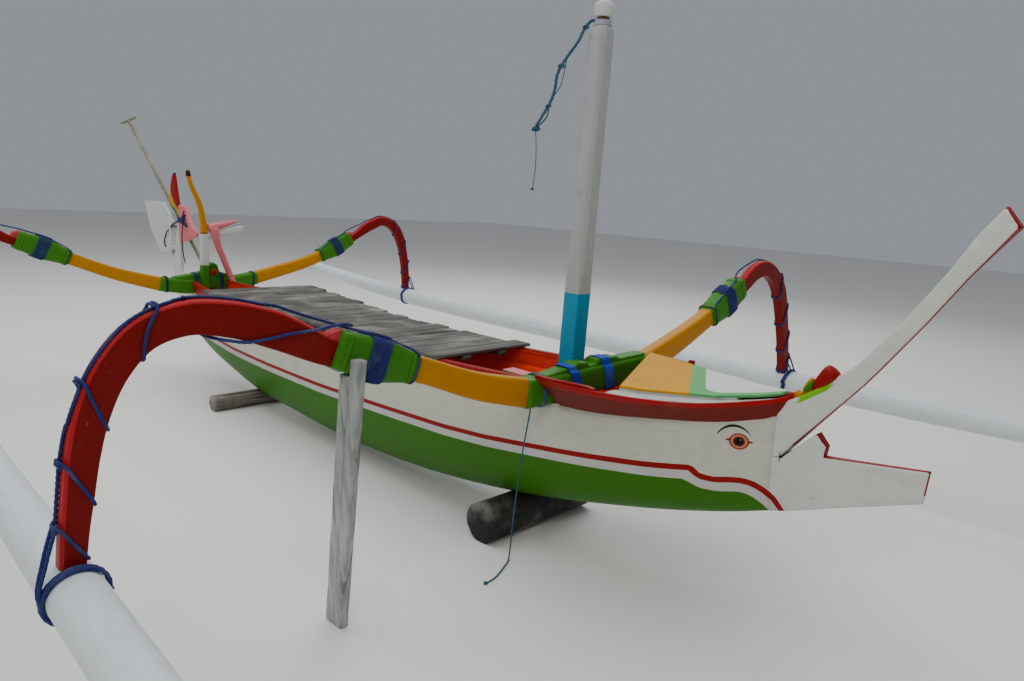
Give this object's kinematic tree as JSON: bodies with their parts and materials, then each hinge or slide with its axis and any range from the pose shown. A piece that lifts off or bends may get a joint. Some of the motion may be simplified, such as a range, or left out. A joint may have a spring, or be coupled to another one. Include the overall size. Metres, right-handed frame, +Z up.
{
  "type": "outrigger canoe",
  "caption": "Painted wooden sailing canoe with curved arms to a long float on each side, a gaping carved prow, mast, slatted deck and hung rudder, propped on logs.",
  "frame": {"origin": "on the ground, under the middle of the canoe's overall length and breadth", "axes": "+X towards the bow, +Y port, +Z up"},
  "size_m": [7.5438, 4.174, 2.3513],
  "materials": {
    "float_paint": "gloss white paint over bamboo",
    "hull_paint": "cream gloss paint over wood",
    "prow_paint": "cream gloss paint over wood",
    "stern_paint": "cream gloss paint over wood",
    "green_paint": "green gloss paint",
    "yellow_paint": "golden yellow gloss paint",
    "red_paint": "red gloss paint",
    "blue_rope": "laid synthetic rope",
    "washboard_paint": "brown-red paint with a bright red edge",
    "white_paint": "white paint",
    "mast_paint": "white paint, blue foot",
    "pink_paint": "faded pink paint",
    "raw_wood": "bare weathered wood",
    "grey_wood": "bare weathered boards",
    "dark_log": "dark weathered log",
    "grey_log": "grey weathered log",
    "cord": "thin twisted cord"
  },
  "bodies": {
    "canoe": {"anchor_cord": "cord", "boom_front_centre": "green_paint", "boom_front_port": "yellow_paint", "boom_front_starboard": "yellow_paint", "boom_rear_centre": "green_paint", "boom_rear_port": "yellow_paint", "boom_rear_starboard": "yellow_paint", "bow_knob": "red_paint", "crook_front_port": "red_paint", "crook_front_starboard": "red_paint", "crook_rear_port": "red_paint", "crook_rear_starboard": "red_paint", "crutch_beam": "white_paint", "crutch_brace": "pink_paint", "crutch_horn": "yellow_paint", "crutch_post": "white_paint", "crutch_roller": "pink_paint", "deck": "grey_wood", "float_lashing_front_port": "blue_rope", "float_lashing_front_starboard": "blue_rope", "float_lashing_rear_port": "blue_rope", "float_lashing_rear_starboard": "blue_rope", "float_port": "float_paint", "float_starboard": "float_paint", "foredeck": "yellow_paint", "hull": "hull_paint", "log_front": "dark_log", "log_stern": "grey_log", "mast_step": "raw_wood", "pole": "raw_wood", "prop_post": "raw_wood", "prow": "prow_paint", "saddle_front": "green_paint", "saddle_rear": "green_paint", "sleeve_front_port": "green_paint", "sleeve_front_starboard": "green_paint", "sleeve_rear_port": "green_paint", "sleeve_rear_starboard": "green_paint", "stern_knee": "pink_paint", "stern_post": "stern_paint", "strake_port": "red_paint", "strake_starboard": "red_paint", "washboard_port": "washboard_paint", "washboard_starboard": "washboard_paint"},
    "mast": {"mast": "mast_paint", "mast_cap": "mast_paint", "halyard": "cord"},
    "rudder": {"rudder_head": "white_paint"},
    "blade": {"rudder_blade": "white_paint"}
  },
  "joints": [
    {"name": "mast_lift", "type": "slide", "parent": "canoe", "child": "mast", "axis": [0.02, 0, 0.9998], "range_m": [0, 0.45]},
    {"name": "rudder_turn", "type": "hinge", "parent": "canoe", "child": "rudder", "pos_m": [-2.6781, 0, 1], "axis": [0, 0, 1], "range_deg": [-40, 40]},
    {"name": "blade_drop", "type": "hinge", "parent": "rudder", "child": "blade", "pos_m": [-2.7501, 0, 0.958], "axis": [0, -1, 0], "range_deg": [0, 85]}
  ]
}
